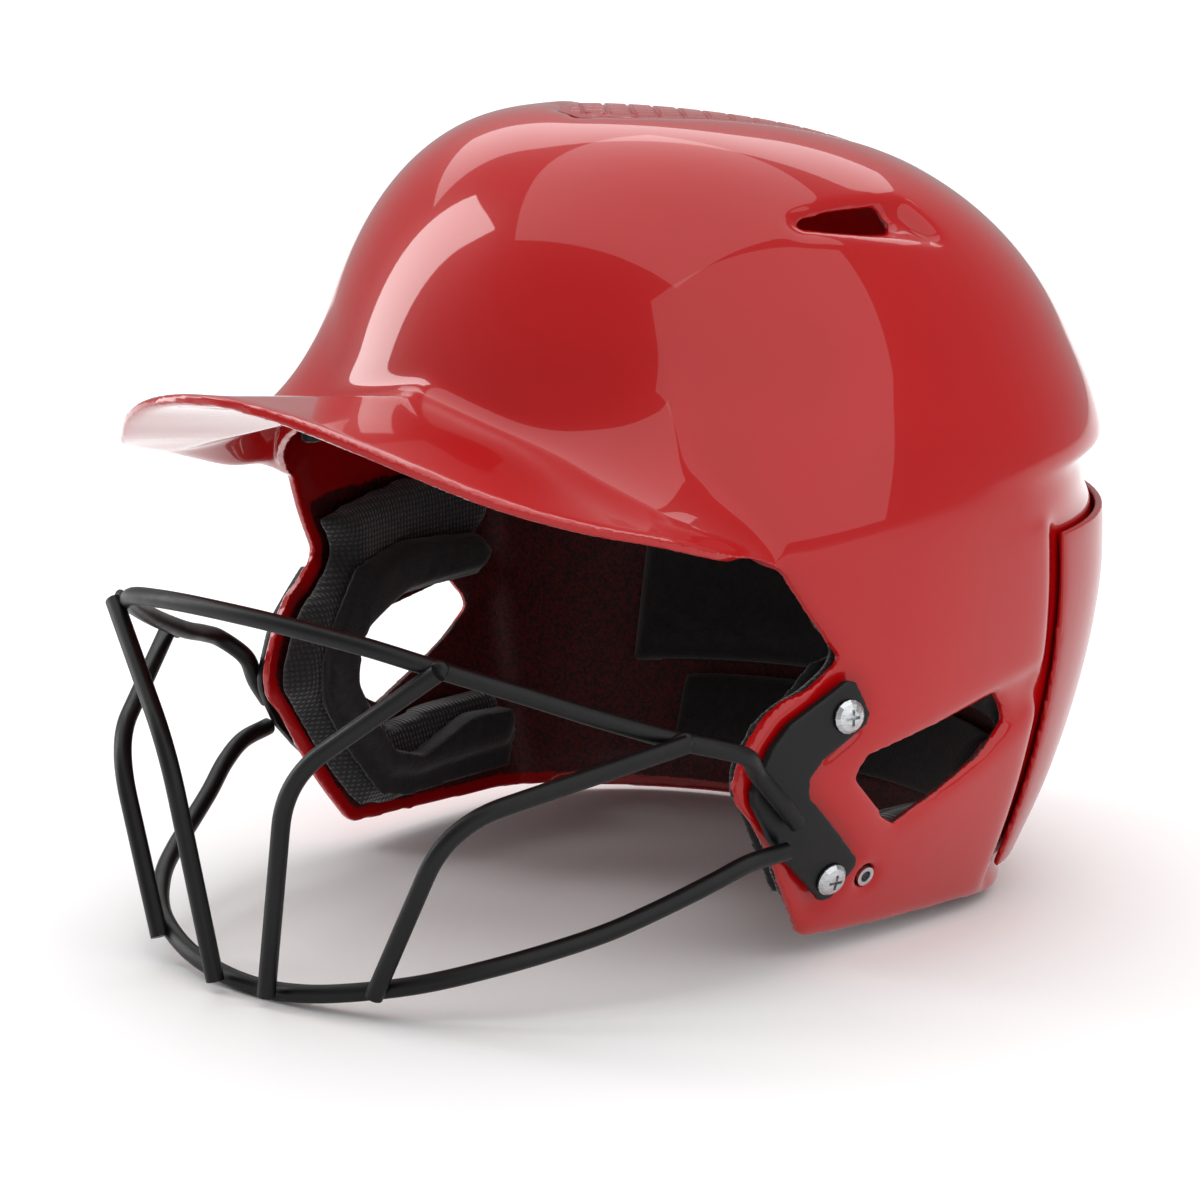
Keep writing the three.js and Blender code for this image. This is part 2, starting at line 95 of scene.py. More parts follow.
def latitude(z):
    z = np.asarray(z, float)
    up = np.clip((z - EQUATOR_Z) / DOME_H, 0, 1) ** (1 / 0.85)
    return np.where(z <= EQUATOR_Z, 185 - z, np.degrees(np.arccos(up)))


def surface(angle, lat):
    mid, front, back, side, power, rear_power, z = section(lat)
    c, s = np.cos(np.radians(angle)), np.sin(np.radians(angle))
    power = np.where(c >= 0, power, rear_power)
    reach = np.where(c >= 0, front - mid, back - mid) * np.abs(c) ** (2 / power)
    y = np.sign(s) * side * np.abs(s) ** (2 / power)
    return np.stack(np.broadcast_arrays(mid + reach, y, z), -1)


def normal(angle, lat):
    around = surface(angle + 0.5, lat) - surface(angle - 0.5, lat)
    down = surface(angle, lat + 0.5) - surface(angle, lat - 0.5)
    n = np.cross(down, around)
    return n / np.maximum(np.linalg.norm(n, axis=-1, keepdims=True), 1e-9)


def height(x, y):
    """Level of the dome over a plan point."""
    mid, front, back, side, power, rear_power, z = section(np.linspace(5, 88, 400))
    ahead = x >= mid
    power = np.where(ahead, power, rear_power)
    level = (np.abs((x - mid) / np.where(ahead, front - mid, mid - back)) ** power
             + np.abs(y / side) ** power)
    return float(np.interp(1.0, level[::-1], z[::-1]))


def inset(angle, lat, depth):
    angle, lat = np.broadcast_arrays(np.asarray(angle, float), np.asarray(lat, float))
    lat = np.maximum(lat, 0.6)
    depth = np.broadcast_to(depth, angle.shape)
    return surface(angle, lat) - normal(angle, lat) * depth[..., None]


def inside(points, outline):
    """Signed distance of (a, b) points to a closed outline, positive inside."""
    p = np.asarray(points, float)
    best = np.full(p.shape[:-1], 1e9)
    hit = np.zeros(p.shape[:-1], bool)
    for (ax, ay), (bx, by) in zip(outline, outline[1:] + outline[:1]):
        ex, ey = bx - ax, by - ay
        t = np.clip(((p[..., 0] - ax) * ex + (p[..., 1] - ay) * ey) / (ex * ex + ey * ey), 0, 1)
        best = np.minimum(best, np.hypot(p[..., 0] - ax - t * ex, p[..., 1] - ay - t * ey))
        cross = (ay > p[..., 1]) != (by > p[..., 1])
        hit ^= cross & (p[..., 0] < (bx - ax) * (p[..., 1] - ay) / ((by - ay) or 1e-9) + ax)
    return np.where(hit, best, -best)


# ---------- outlines ----------
# Side view (x, z).
FLAP_EDGE = [(84.5, 113.8), (77.3, 101.4), (70.5, 91), (68.4, 88.6), (70, 86.2), (77.5, 80.8),
             (84.8, 78.4), (90, 73.8), (94.6, 67.6), (98.2, 60.5), (99, 56.5), (98.2, 51),
             (91.9, 43.6), (84.5, 32), (77.5, 20.4), (69.5, 8.8), (66.5, 6.8), (55, 6.2)]
BELOW = [(30, 5), (5, 4.5), (-12, 3), (-30, 1.2), (-52, 0), (-120, -0.01)]
FACE_OPENING = FLAP_EDGE + BELOW + [(-120, -30), (250, -30), (250, 116.5), (92, 116.5)]
EAR_HOLE = [(61.7, 53.8), (58.3, 59.3), (44.6, 61.8), (6.7, 68.3), (1.3, 61.7), (0.6, 58.6),
            (12.7, 50.2), (29, 43), (43.6, 37.5), (48.2, 39.9)]
EAR_BEVEL = [(66, 54), (60, 63), (44.6, 66), (0, 74.5), (-13, 76), (-20, 62), (-4, 54), (12, 45.5),
             (29, 38.5), (42, 32.5), (51, 35)]
PLATE = [(69, 82.8), (66.5, 82), (61.8, 72.5), (63, 69.5), (76.5, 61.5), (80.3, 56.5),
         (79.7, 51.2), (58.9, 30), (58.7, 27.5), (65, 19), (68, 18.8), (82.4, 32.1), (90, 40),
         (96.5, 51.5), (96.8, 55), (95, 59.5), (91, 67), (86, 72.7)]
PLATE_SEAT = [(71, 86), (64, 84), (58, 72), (60, 67), (74, 58), (75.5, 52), (55, 31), (54.5, 26),
              (63, 15), (70, 15), (84, 32.4), (92, 41), (96.6, 51), (97, 55), (95.4, 59.5),
              (92, 66), (86.5, 73.3), (79, 77)]
# Plan view (x, y).
VENT = [(57.9, 70.2), (44.8, 72.2), (29, 73.8), (11.4, 75), (3.6, 84.9), (7.2, 85.6),
        (29.1, 82.5), (52.9, 75.5), (56, 72.4)]
VENT_HOLE = [(55.3, 72.9), (38.3, 75.7), (21.6, 77.3), (17.4, 83), (30, 81.8), (45.4, 77.7)]
CROWN = [(62, 0), (57, 13), (46, 22), (28, 33), (6, 43), (-20, 46), (-42, 38), (-50, 20), (-52, 0)]
CROWN_SINK = 2.2
BRIM_EDGE = [(0, 200, 0, 165.5), (7, 198.5, 20, 163.5), (14, 194.5, 36, 159.5),
             (21, 185.5, 53, 152.5), (28, 172, 70, 144), (35, 156, 86.5, 137.2),
             (42, 134, 94, 131), (49, 109, 97, 123), (TEMPLE, 84.5, 95.5, 114.5)]
BRIM_ROOT = [(0, 155), (8, 150.5), (18, 145), (28, 138.5), (38, 130.5), (48, 121.5),
             (TEMPLE, 114.5)]
SCREWS = {"upper": (68.5, 73), "lower": (67, 26.5)}
INSERT_AT = (49.8, 22.1)
INSERT_R = 2.9


def through(rows, x):
    """Smooth interpolation through rows of (x, ...values)."""
    rows = np.asarray(rows, float)
    x = np.atleast_1d(np.asarray(x, float))
    i = np.clip(np.searchsorted(rows[:, 0], x, side="right") - 1, 0, len(rows) - 2)
    a, b = rows[i], rows[i + 1]
    before, after = rows[np.maximum(i - 1, 0)], rows[np.minimum(i + 2, len(rows) - 1)]
    h = (b[:, 0] - a[:, 0])[:, None]
    u = ((x - a[:, 0]) / h[:, 0])[:, None]
    m0 = (b[:, 1:] - before[:, 1:]) / (b[:, :1] - before[:, :1]) * h
    m1 = (after[:, 1:] - a[:, 1:]) / (after[:, :1] - a[:, :1]) * h
    return ((2 * u ** 3 - 3 * u ** 2 + 1) * a[:, 1:] + (u ** 3 - 2 * u ** 2 + u) * m0
            + (3 * u ** 2 - 2 * u ** 3) * b[:, 1:] + (u ** 3 - u ** 2) * m1)


# ---------- mesh helpers ----------
def mesh_object(name, points, faces, smooth=True):
    mesh = bpy.data.meshes.new(name)
    mesh.from_pydata(metres(points).tolist(), [], [list(f) for f in faces])
    mesh.validate()
    bm = bmesh.new()
    bm.from_mesh(mesh)
    bmesh.ops.remove_doubles(bm, verts=bm.verts, dist=2e-6)
    bmesh.ops.recalc_face_normals(bm, faces=bm.faces)
    bm.to_mesh(mesh)
    bm.free()
    for poly in mesh.polygons:
        poly.use_smooth = smooth
    obj = bpy.data.objects.new(name, mesh)
    bpy.context.scene.collection.objects.link(obj)
    return obj


def grid_faces(rows, cols, base=0, flip=False):
    i, j = np.meshgrid(np.arange(rows - 1), np.arange(cols - 1), indexing="ij")
    a = base + i * cols + j
    quads = np.stack([a, a + cols, a + cols + 1, a + 1], -1).reshape(-1, 4)
    return quads[:, ::-1] if flip else quads


def slab(name, outer, inner, smooth=True):
    """Closed body between two grids of points."""
    rows, cols = outer.shape[:2]
    n = rows * cols
    faces = [grid_faces(rows, cols), grid_faces(rows, cols, n, True)]
    i, j = np.arange(rows - 1), np.arange(cols - 1)
    for c in (0, cols - 1):
        a = i * cols + c
        faces.append(np.stack([a, n + a, n + a + cols, a + cols], -1))
    for r in (0, rows - 1):
        a = r * cols + j
        faces.append(np.stack([a, a + 1, n + a + 1, n + a], -1))
    points = np.concatenate([outer.reshape(-1, 3), inner.reshape(-1, 3)])
    return mesh_object(name, points, np.concatenate(faces).tolist(), smooth)


def prism(name, outline, lo, hi, axis):
    """Outline pushed along y (side view) or z (plan view)."""
    n = len(outline)
    place = (lambda a, b, k: (a, k, b)) if axis == "y" else (lambda a, b, k: (a, b, k))
    points = [place(a, b, k) for k in (lo, hi) for a, b in outline]
    faces = [list(range(n)), list(range(2 * n - 1, n - 1, -1))]
    faces += [[i, n + i, n + (i + 1) % n, (i + 1) % n] for i in range(n)]
    return mesh_object(name, points, faces, False)


def cylinder(name, at, direction, r, depth, count=48):
    d = np.asarray(direction, float)
    u = np.cross(d, [0, 0, 1.0])
    u /= np.linalg.norm(u)
    v = np.cross(d, u)
    t = np.radians(np.arange(count) * 360 / count)
    ring = r * (np.cos(t)[:, None] * u + np.sin(t)[:, None] * v)
    points = np.concatenate([at - d * depth / 2 + ring, at + d * depth / 2 + ring])
    faces = [list(range(count)), list(range(2 * count - 1, count - 1, -1))]
    faces += [[i, count + i, count + (i + 1) % count, (i + 1) % count] for i in range(count)]
    return mesh_object(name, points, faces, False)


def boolean(obj, tool, operation="DIFFERENCE"):
    mod = obj.modifiers.new("cut", "BOOLEAN")
    mod.operation, mod.solver, mod.object = operation, "MANIFOLD", tool
    apply_modifiers(obj)
    bpy.data.objects.remove(tool)


def apply_modifiers(obj):
    bpy.context.view_layer.update()
    graph = bpy.context.evaluated_depsgraph_get()
    mesh = bpy.data.meshes.new_from_object(obj.evaluated_get(graph))
    obj.modifiers.clear()
    old, obj.data = obj.data, mesh
    bpy.data.meshes.remove(old)


def arrays(mesh):
    co = np.empty(len(mesh.vertices) * 3)
    mesh.vertices.foreach_get("co", co)
    edges = np.empty(len(mesh.edges) * 2, int)
    mesh.edges.foreach_get("vertices", edges)
    return co.reshape(-1, 3), edges.reshape(-1, 2)


def average(values, edges, weights, keep):
    """Neighbour average of per-vertex rows, weighted along each edge."""
    a, b = edges.T
    n = len(values)
    total = np.bincount(a, weights, n) + np.bincount(b, weights, n) + keep
    out = np.empty_like(values)
    for k in range(values.shape[1]):
        column = values[:, k]
        out[:, k] = (np.bincount(a, weights * column[b], n) + np.bincount(b, weights * column[a], n)
                     + keep * column) / total
    return out


def polish(obj, voxel, rounds=6, normal_rounds=14):
    """Voxel remesh, rounded edges, and shading normals smoothed everywhere but across edges."""
    mod = obj.modifiers.new("remesh", "REMESH")
    mod.mode, mod.voxel_size, mod.use_smooth_shade = "VOXEL", voxel / 1000, True
    apply_modifiers(obj)
    mesh = obj.data
    co, edges = arrays(mesh)
    ones = np.ones(len(edges))
    for _ in range(rounds):
        co = average(co, edges, ones, 2.0)
    mesh.vertices.foreach_set("co", co.ravel())
    mesh.update()
    normals = np.empty(len(mesh.vertices) * 3)
    mesh.vertex_normals.foreach_get("vector", normals)
    normals = normals.reshape(-1, 3)
    a, b = edges.T
    for _ in range(normal_rounds):
        like = np.clip(((normals[a] * normals[b]).sum(1) - 0.93) / 0.06, 0.0, 1.0)
        normals = average(normals, edges, like, 1.0)
        normals /= np.linalg.norm(normals, axis=1, keepdims=True)
    mesh.normals_split_custom_set_from_vertices(normals)
    return co * 1000 - [DATUM_X, 0, 0], normals


# ---------- shell ----------
def relief(angle, lat, p):
    """How far the wall steps in at a point: rear groove and seat, ear scoop, vent and plate seats."""
    around = np.where(angle > 180, 360 - angle, angle)
    start, end = latitude(LEDGE_Z), latitude(PANEL_TOP + 3)
    into, out = ease(start - 0.1, start + 1.6, lat), ease(end - 1.2, end + 0.8, lat)
    depth = 4.6 * ease(84, 128, around) * into * (1 - out)
    depth = depth + (PANEL_T + 0.1) * ease(96, 100, around) * out * (1 - ease(178, 180, lat))
    depth = depth - LIP * ease(84, 128, around) * ease(start - 14, start - 1, lat) * (1 - into)
    side = np.abs(p[..., 1]) > 55
    flank = p[..., [0, 2]]
    scoop = 2.6 * ease(0, 7, inside(flank, EAR_BEVEL)) * ease(62, -14, p[..., 0])
    seat = 1.5 * ease(-0.5, 1.5, inside(flank, PLATE_SEAT))
    low = side & (p[..., 2] < 95)
    depth = depth + np.where(low, np.maximum(scoop, seat), 0)
    plan = np.stack([p[..., 0], np.abs(p[..., 1])], -1)
    vent = 3.4 * ease(0, 2.6, inside(plan, VENT))
    return depth + np.where(side & (p[..., 2] > 170), vent, 0)


def build_bowl():
    fine = 1.0
    angles = np.linspace(0, 360, int(540 * fine) + 1)
    ledge = float(latitude(LEDGE_Z))
    lats = np.concatenate([np.linspace(0, ledge - 3, int(110 * fine)),
                           np.linspace(ledge - 2.6, 90, int(50 * fine)),
                           np.linspace(91, 184.8, int(80 * fine))])
    a, lat = np.meshgrid(angles, lats)
    p = surface(a, np.maximum(lat, 0.6))
    depth = relief(a, lat, p)
    outer, inner = inset(a, lat, depth), inset(a, lat, depth + SHELL_T)
    outer[0], inner[0] = outer[0].mean(0), inner[0].mean(0)
    outer[:, -1], inner[:, -1] = outer[:, 0], inner[:, 0]
    n = a.size
    rows, cols = a.shape
    last = (rows - 1) * cols + np.arange(cols - 1)
    faces = np.concatenate([grid_faces(rows, cols), grid_faces(rows, cols, n, True),
                            np.stack([last, last + 1, n + last + 1, n + last], -1)])
    return mesh_object("shell_surface", np.concatenate([outer.reshape(-1, 3), inner.reshape(-1, 3)]),
                       faces.tolist())


def brim_grid(angles, steps):
    a = np.abs(angles)
    lat = latitude(through(BRIM_ROOT, a)[:, 0])
    root, edge = surface(a, lat), through(BRIM_EDGE, a)
    width = np.linalg.norm(edge - root, axis=1)
    fillet = np.minimum(7 + 34 * ease(12, 48, a), 0.95 * width)
    above = surface(a, lat - 0.55 * fillet)
    knee = root + (edge - root) * (fillet / np.maximum(width, 1e-6))[:, None]
    rows = []
    for s in steps:
        if s < 0.4:
            t = s / 0.4
            rows.append((1 - t) ** 2 * above + 2 * t * (1 - t) * root + t * t * knee)
        else:
            rows.append(knee + (edge - knee) * (s - 0.4) / 0.6)
    grid = np.array(rows)
    grid[..., 1] *= np.where(angles < 0, -1, 1)
    return grid


def build_brim():
    angles = np.linspace(-TEMPLE, TEMPLE, 161)
    top = brim_grid(angles, np.concatenate([np.linspace(0, 0.4, 16), np.linspace(0.43, 1, 24)]))
    du, dv = np.gradient(top, axis=0), np.gradient(top, axis=1)
    n = np.cross(du, dv)
    n /= np.maximum(np.linalg.norm(n, axis=-1, keepdims=True), 1e-9)
    flat = normal(angles[None, :], latitude(top[..., 2]))
    edge = ease(TEMPLE - 7, TEMPLE - 3, np.abs(angles))[None, :, None]
    n = n * (1 - edge) + flat * edge
    n /= np.linalg.norm(n, axis=-1, keepdims=True)
    return slab("brim_surface", top, top - n * SHELL_T)


def under_brim():
    angles = np.linspace(-TEMPLE + 1, TEMPLE - 1, 81)
    z = through(BRIM_ROOT, np.abs(angles))[:, 0]
    p = surface(angles, latitude(z))
    n = normal(angles, np.full(len(angles), 88.0)) * [1, 1, 0]
    n /= np.linalg.norm(n, axis=1, keepdims=True)
    top = np.array([p + n * k for k in (-22, 14)])
    top[..., 2] = z - 2.2
    base = top.copy()
    base[..., 2] = 112
    return slab("under_brim_cut", top, base, False)


def on_flap(place, depth=0.0, side=1):
    """Surface point and outward normal at a side-view point of a flap."""
    x, z = place
    lat = latitude(z)
    mid, front, _, _, power, _, _ = section(lat)
    angle = np.degrees(np.arccos(((x - mid) / (front - mid)) ** (power / 2)))
    n = normal(angle, lat).reshape(3)
    at = surface(angle, lat).reshape(3) - n * depth
    return at * [1, side, 1], n * [1, side, 1]


def cross_pin(name, place, r, depth_out, depth_in, side=1):
    at, n = on_flap(place, (depth_out + depth_in) / 2, side)
    return cylinder(name, at, n, r, depth_in - depth_out)


def build_shell():
    shell = build_bowl()
    boolean(shell, under_brim())
    boolean(shell, build_brim(), "UNION")
    boolean(shell, prism("face_cut", FACE_OPENING, -160, 160, "y"))
    for side in (1, -1):
        lo, hi = sorted((60 * side, 160 * side))
        boolean(shell, prism("ear_cut", EAR_HOLE, lo, hi, "y"))
        lo, hi = sorted((40 * side, 120 * side))
        boolean(shell, prism("vent_cut", [(x, height(x, y)) for x, y in VENT_HOLE], lo, hi, "y"))
        boolean(shell, cross_pin("insert_cut", INSERT_AT, INSERT_R + 0.9, -8, 1.6, side))
        boolean(shell, cross_pin("insert_bore", INSERT_AT, INSERT_R + 0.3, -8, 8, side))
        for place in SCREWS.values():
            boolean(shell, cross_pin("screw_cut", place, BOLT_HOLE_R, -8, 8, side))
    cap = crown_slab("crown_cut", -3.0, CROWN_SINK, 180, 50)
    boolean(cap, prism("crown_ring", full_crown(), 150, 250, "z"), "INTERSECT")
    boolean(shell, cap)
    points, normals = polish(shell, VOXEL, rounds=10)
    shell.name = "shell_gloss"
    paint_shell(shell, points, normals)
    return shell


def full_crown():
    return CROWN + [(x, -y) for x, y in reversed(CROWN[1:-1])]


def crown_slab(name, depth_out, depth_in, around, down):
    """Closed cap over the crown between two depths; a depth may be a function of (x, y)."""
    a, lat = np.meshgrid(np.linspace(0, 360, around, endpoint=False), np.linspace(0.8, 46, down))
    plan = surface(a, lat)[..., :2]
    n, rows = a.size, len(a)
    grids, poles = [], []
    for depth in (depth_out, depth_in):
        grid = inset(a, lat, depth(plan) if callable(depth) else depth)
        grids.append(grid.reshape(-1, 3))
        poles.append(grid[0].mean(0))
    i, j = np.meshgrid(np.arange(rows - 1), np.arange(around), indexing="ij")
    k, step = i * around + j, i * around + (j + 1) % around
    wall = np.stack([k, k + around, step + around, step], -1).reshape(-1, 4)
    j = np.arange(around)
    after, last = (j + 1) % around, (rows - 1) * around
    faces = wall.tolist() + (wall[:, ::-1] + n).tolist()
    faces += np.stack([last + j, n + last + j, n + last + after, last + after], -1).tolist()
    faces += np.stack([np.full(around, 2 * n), j, after], -1).tolist()
    faces += np.stack([np.full(around, 2 * n + 1), n + after, n + j], -1).tolist()
    return mesh_object(name, np.vstack([*grids, *poles]), faces)


def paint_shell(shell, points, normals):
    """Slots by face: gloss outside and round every rim; inside, a speckled matte lining whose dark red is
    painted shade.
    """
    mid, front, back, side, power, rear_power, _ = section(latitude(np.clip(points[:, 2], 0, 225)))
    r = np.where(points[:, 0] >= mid, front - mid, mid - back)
    power = np.where(points[:, 0] >= mid, power, rear_power)
    level = (np.abs((points[:, 0] - mid) / r) ** power
             + np.abs(points[:, 1] / side) ** power) ** (1 / power)
    out_dir = points - [20, 0, 95]
    facing = (normals * out_dir).sum(1) / np.linalg.norm(out_dir, axis=1)
    edge = np.abs(inside(points[:, [0, 2]], FACE_OPENING))
    brim = (points[:, 2] > 104) & (level > 0.93)
    # Inner faces of the shell: these get the speckled material, darkened with painted shade.
    inner_painted_shade = (facing < -0.15) & (level < 0.992) & (edge > GLOSS_RIM) & ~brim
    mesh = shell.data
    edges = arrays(mesh)[1]
    kind = inner_painted_shade.astype(float)[:, None]
    for _ in range(12):
        kind = average(kind, edges, np.ones(len(edges)), 1.0)
    kind = kind[:, 0]
    faces = np.empty(len(mesh.polygons) * 4, int)
    mesh.loops.foreach_get("vertex_index", faces)
    index = (kind[faces.reshape(-1, 4)].mean(1) >= 0.5).astype(int)
    mesh.materials.clear()
    mesh.materials.append(MATERIALS["gloss"])
    mesh.materials.append(MATERIALS["lining"])
    mesh.polygons.foreach_set("material_index", index)


# ---------- materials ----------
MATERIALS = {}


def linear(r, g, b):
    """sRGB bytes to linear colour."""
    return tuple((v / 255 / 12.92) if v <= 10 else ((v / 255 + 0.055) / 1.055) ** 2.4
                 for v in (r, g, b)) + (1.0,)


class Nodes:
    """A Principled material and short calls for its texture nodes, all in object coordinates."""

    def __init__(self, name, **constants):
        self.mat = bpy.data.materials.new(name)
        self.mat.use_nodes = True
        self.tree = self.mat.node_tree
        self.shader = self.tree.nodes["Principled BSDF"]
        for key, value in constants.items():
            self.shader.inputs[key.replace("_", " ")].default_value = value
        self.coords = self.add("ShaderNodeTexCoord").outputs["Object"]

    def add(self, kind, **props):
        node = self.tree.nodes.new(kind)
        for key, value in props.items():
            setattr(node, key, value)
        return node

    def link(self, a, b):
        self.tree.links.new(a, b)

    def noise(self, scale, detail=4, rough=0.55, stretch=None):
        node = self.add("ShaderNodeTexNoise")
        node.inputs["Scale"].default_value = scale
        node.inputs["Detail"].default_value = detail
        node.inputs["Roughness"].default_value = rough
        self.link(self.mapped(stretch) if stretch else self.coords, node.inputs["Vector"])
        return node.outputs["Fac"]

    def mapped(self, scale):
        node = self.add("ShaderNodeMapping")
        node.inputs["Scale"].default_value = scale
        self.link(self.coords, node.inputs["Vector"])
        return node.outputs["Vector"]

    def voronoi(self, scale):
        node = self.add("ShaderNodeTexVoronoi")
        node.inputs["Scale"].default_value = scale
        self.link(self.coords, node.inputs["Vector"])
        return node.outputs["Distance"]

    def ramp(self, fac, stops):
        node = self.add("ShaderNodeValToRGB")
        node.color_ramp.elements[0].position, node.color_ramp.elements[0].color = stops[0]
        node.color_ramp.elements[1].position, node.color_ramp.elements[1].color = stops[1]
        self.link(fac, node.inputs["Fac"])
        return node.outputs["Color"]

    def math(self, operation, a, b=None):
        node = self.add("ShaderNodeMath", operation=operation)
        for socket, value in zip(node.inputs, (a, b)):
            if hasattr(value, "is_linked"):
                self.link(value, socket)
            elif value is not None:
                socket.default_value = value
        return node.outputs[0]

    def spread(self, fac, lo, hi):
        node = self.add("ShaderNodeMapRange")
        node.inputs["To Min"].default_value, node.inputs["To Max"].default_value = lo, hi
        self.link(fac, node.inputs["Value"])
        return node.outputs["Result"]

    def to(self, name, value):
        self.link(value, self.shader.inputs[name])

    def bump(self, height, strength, distance):
        node = self.add("ShaderNodeBump")
        node.inputs["Strength"].default_value = strength
        node.inputs["Distance"].default_value = distance
        self.link(height, node.inputs["Height"])
        self.to("Normal", node.outputs["Normal"])


def make_materials():
    m = Nodes("gloss_red_shell", Coat_Weight=1.0, Coat_Roughness=0.03, Coat_IOR=1.4,
              Specular_IOR_Level=0.1)
    m.to("Base Color", m.ramp(m.noise(9, 3), [(0.3, linear(160, 3, 6)), (0.7, linear(170, 5, 9))]))
    m.to("Roughness", m.spread(m.noise(40, 4), 0.26, 0.36))
    m.bump(m.noise(160, 2), 0.05, 0.0004)
    MATERIALS["gloss"] = m.mat

    # Speckled matte inside of the shell: the speckle is its own grain, the dark red is painted shade of
    # the interior.
    m = Nodes("red_lining")
    speck = m.noise(900, 2, 0.8)
    m.to("Base Color", m.ramp(speck, [(0.42, linear(34, 2, 4)), (0.6, linear(96, 4, 8))]))
    m.to("Roughness", m.spread(m.noise(60), 0.5, 0.75))
    m.bump(speck, 0.35, 0.0004)
    MATERIALS["lining"] = m.mat

    m = Nodes("satin_red_trim", Coat_Weight=0.7, Coat_Roughness=0.12, Coat_IOR=1.4,
              Specular_IOR_Level=0.1)
    m.to("Base Color", m.ramp(m.noise(12, 3), [(0.3, linear(146, 3, 7)), (0.7, linear(158, 5, 10))]))
    m.to("Roughness", m.spread(m.noise(50), 0.3, 0.42))
    m.bump(m.noise(420, 3), 0.08, 0.0004)
    MATERIALS["satin"] = m.mat

    m = Nodes("black_powder_coat", Specular_IOR_Level=0.28)
    m.to("Base Color", m.ramp(m.noise(70, 5), [(0.35, linear(4, 4, 5)), (0.75, linear(11, 11, 12))]))
    m.to("Roughness", m.spread(m.noise(220, 4), 0.34, 0.52))
    m.bump(m.noise(1500, 2), 0.12, 0.0003)
    MATERIALS["coat"] = m.mat

    m = Nodes("knit_fabric", Sheen_Weight=0.35, Sheen_Roughness=0.5)
    ribs = [m.add("ShaderNodeTexWave", wave_type="BANDS", bands_direction=d) for d in "XZ"]
    for rib in ribs:
        rib.inputs["Scale"].default_value = 210
        rib.inputs["Distortion"].default_value = 1.2
        m.link(m.coords, rib.inputs["Vector"])
    knit = m.math("MULTIPLY", ribs[0].outputs["Fac"], ribs[1].outputs["Fac"])
    fuzz = m.math("ADD", knit, m.math("MULTIPLY", m.noise(1100, 2), 0.6))
    m.to("Base Color", m.ramp(fuzz, [(0.1, linear(8, 8, 9)), (1.0, linear(38, 38, 41))]))
    m.to("Roughness", m.spread(m.noise(300), 0.8, 0.98))
    m.bump(fuzz, 0.6, 0.0006)
    MATERIALS["knit"] = m.mat

    m = Nodes("cushion_fabric", Sheen_Weight=0.25, Sheen_Roughness=0.45)
    weave = m.voronoi(1400)
    m.to("Base Color", m.ramp(m.noise(500, 3), [(0.3, linear(11, 11, 12)), (0.8, linear(30, 30, 33))]))
    m.to("Roughness", m.spread(m.noise(200), 0.72, 0.9))
    m.bump(weave, 0.35, 0.0004)
    MATERIALS["cushion"] = m.mat

    m = Nodes("bright_steel", Metallic=1.0)
    m.to("Base Color", m.ramp(m.noise(400, 4, 0.6, (1, 1, 9)),
                              [(0.3, linear(168, 170, 172)), (0.8, linear(214, 215, 217))]))
    m.to("Roughness", m.spread(m.noise(900, 4), 0.2, 0.38))
    m.bump(m.noise(1600, 2), 0.06, 0.0002)
    MATERIALS["steel"] = m.mat

    m = Nodes("pale_floor")
    m.to("Base Color", m.ramp(m.noise(3, 2), [(0.3, (0.86, 0.86, 0.86, 1)), (0.7, (0.88, 0.88, 0.88, 1))]))
    m.to("Roughness", m.spread(m.noise(5), 0.6, 0.7))
    MATERIALS["floor"] = m.mat


# ---------- other pieces ----------
def finish_piece(obj, material, slot, *nodes, pad=None):
    if material:
        obj.data.materials.clear()
        obj.data.materials.append(MATERIALS[material])
    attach(obj, BODY)
    if nodes:
        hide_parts(*nodes)
    return obj


def wire(name, points, corner=0.0):
    """Round wire along points; corner rounds its middle bend."""
    curve = bpy.data.curves.new(name, "CURVE")
    curve.dimensions = "3D"
    curve.bevel_depth = WIRE_R / 1000
    curve.bevel_resolution = 8
    curve.use_fill_caps = True
    pts = np.array([np.asarray(p, float) for p in points])
    if corner:
        a, b, c = pts
        p1 = b + (a - b) / np.linalg.norm(a - b) * corner
        p2 = b + (c - b) / np.linalg.norm(c - b) * corner
        t = np.linspace(0, 1, 14)[:, None]
        pts = np.vstack([a, (1 - t) ** 2 * p1 + 2 * t * (1 - t) * b + t * t * p2, c])
    else:
        pts = catmull(pts, 10)
    spline = curve.splines.new("POLY")
    spline.points.add(len(pts) - 1)
    spline.points.foreach_set("co", np.hstack([metres(pts), np.ones((len(pts), 1))]).ravel())
    spline.use_smooth = True
    obj = bpy.data.objects.new(name, curve)
    bpy.context.scene.collection.objects.link(obj)
    bpy.context.view_layer.update()
    mesh = bpy.data.meshes.new_from_object(obj.evaluated_get(bpy.context.evaluated_depsgraph_get()))
    bpy.data.objects.remove(obj)
    solid = bpy.data.objects.new(name, mesh)
    bpy.context.scene.collection.objects.link(solid)
    return solid


def catmull(pts, per):
    """Centripetal Catmull-Rom through points."""
    ext = np.vstack([2 * pts[0] - pts[1], pts, 2 * pts[-1] - pts[-2]])
    out = []
    for i in range(1, len(ext) - 2):
        p = ext[i - 1:i + 3]
        k = np.concatenate([[0], np.cumsum(np.linalg.norm(np.diff(p, axis=0), axis=1) ** 0.5)])
        for t in np.linspace(k[1], k[2], per, endpoint=False):
            a = [(k[j + 1] - t) / (k[j + 1] - k[j]) * p[j] + (t - k[j]) / (k[j + 1] - k[j]) * p[j + 1]
                 for j in range(3)]
            b = [(k[j + 2] - t) / (k[j + 2] - k[j]) * a[j] + (t - k[j]) / (k[j + 2] - k[j]) * a[j + 1]
                 for j in range(2)]
            out.append((k[2] - t) / (k[2] - k[1]) * b[0] + (t - k[1]) / (k[2] - k[1]) * b[1])
    out.append(pts[-1])
    return np.array(out)


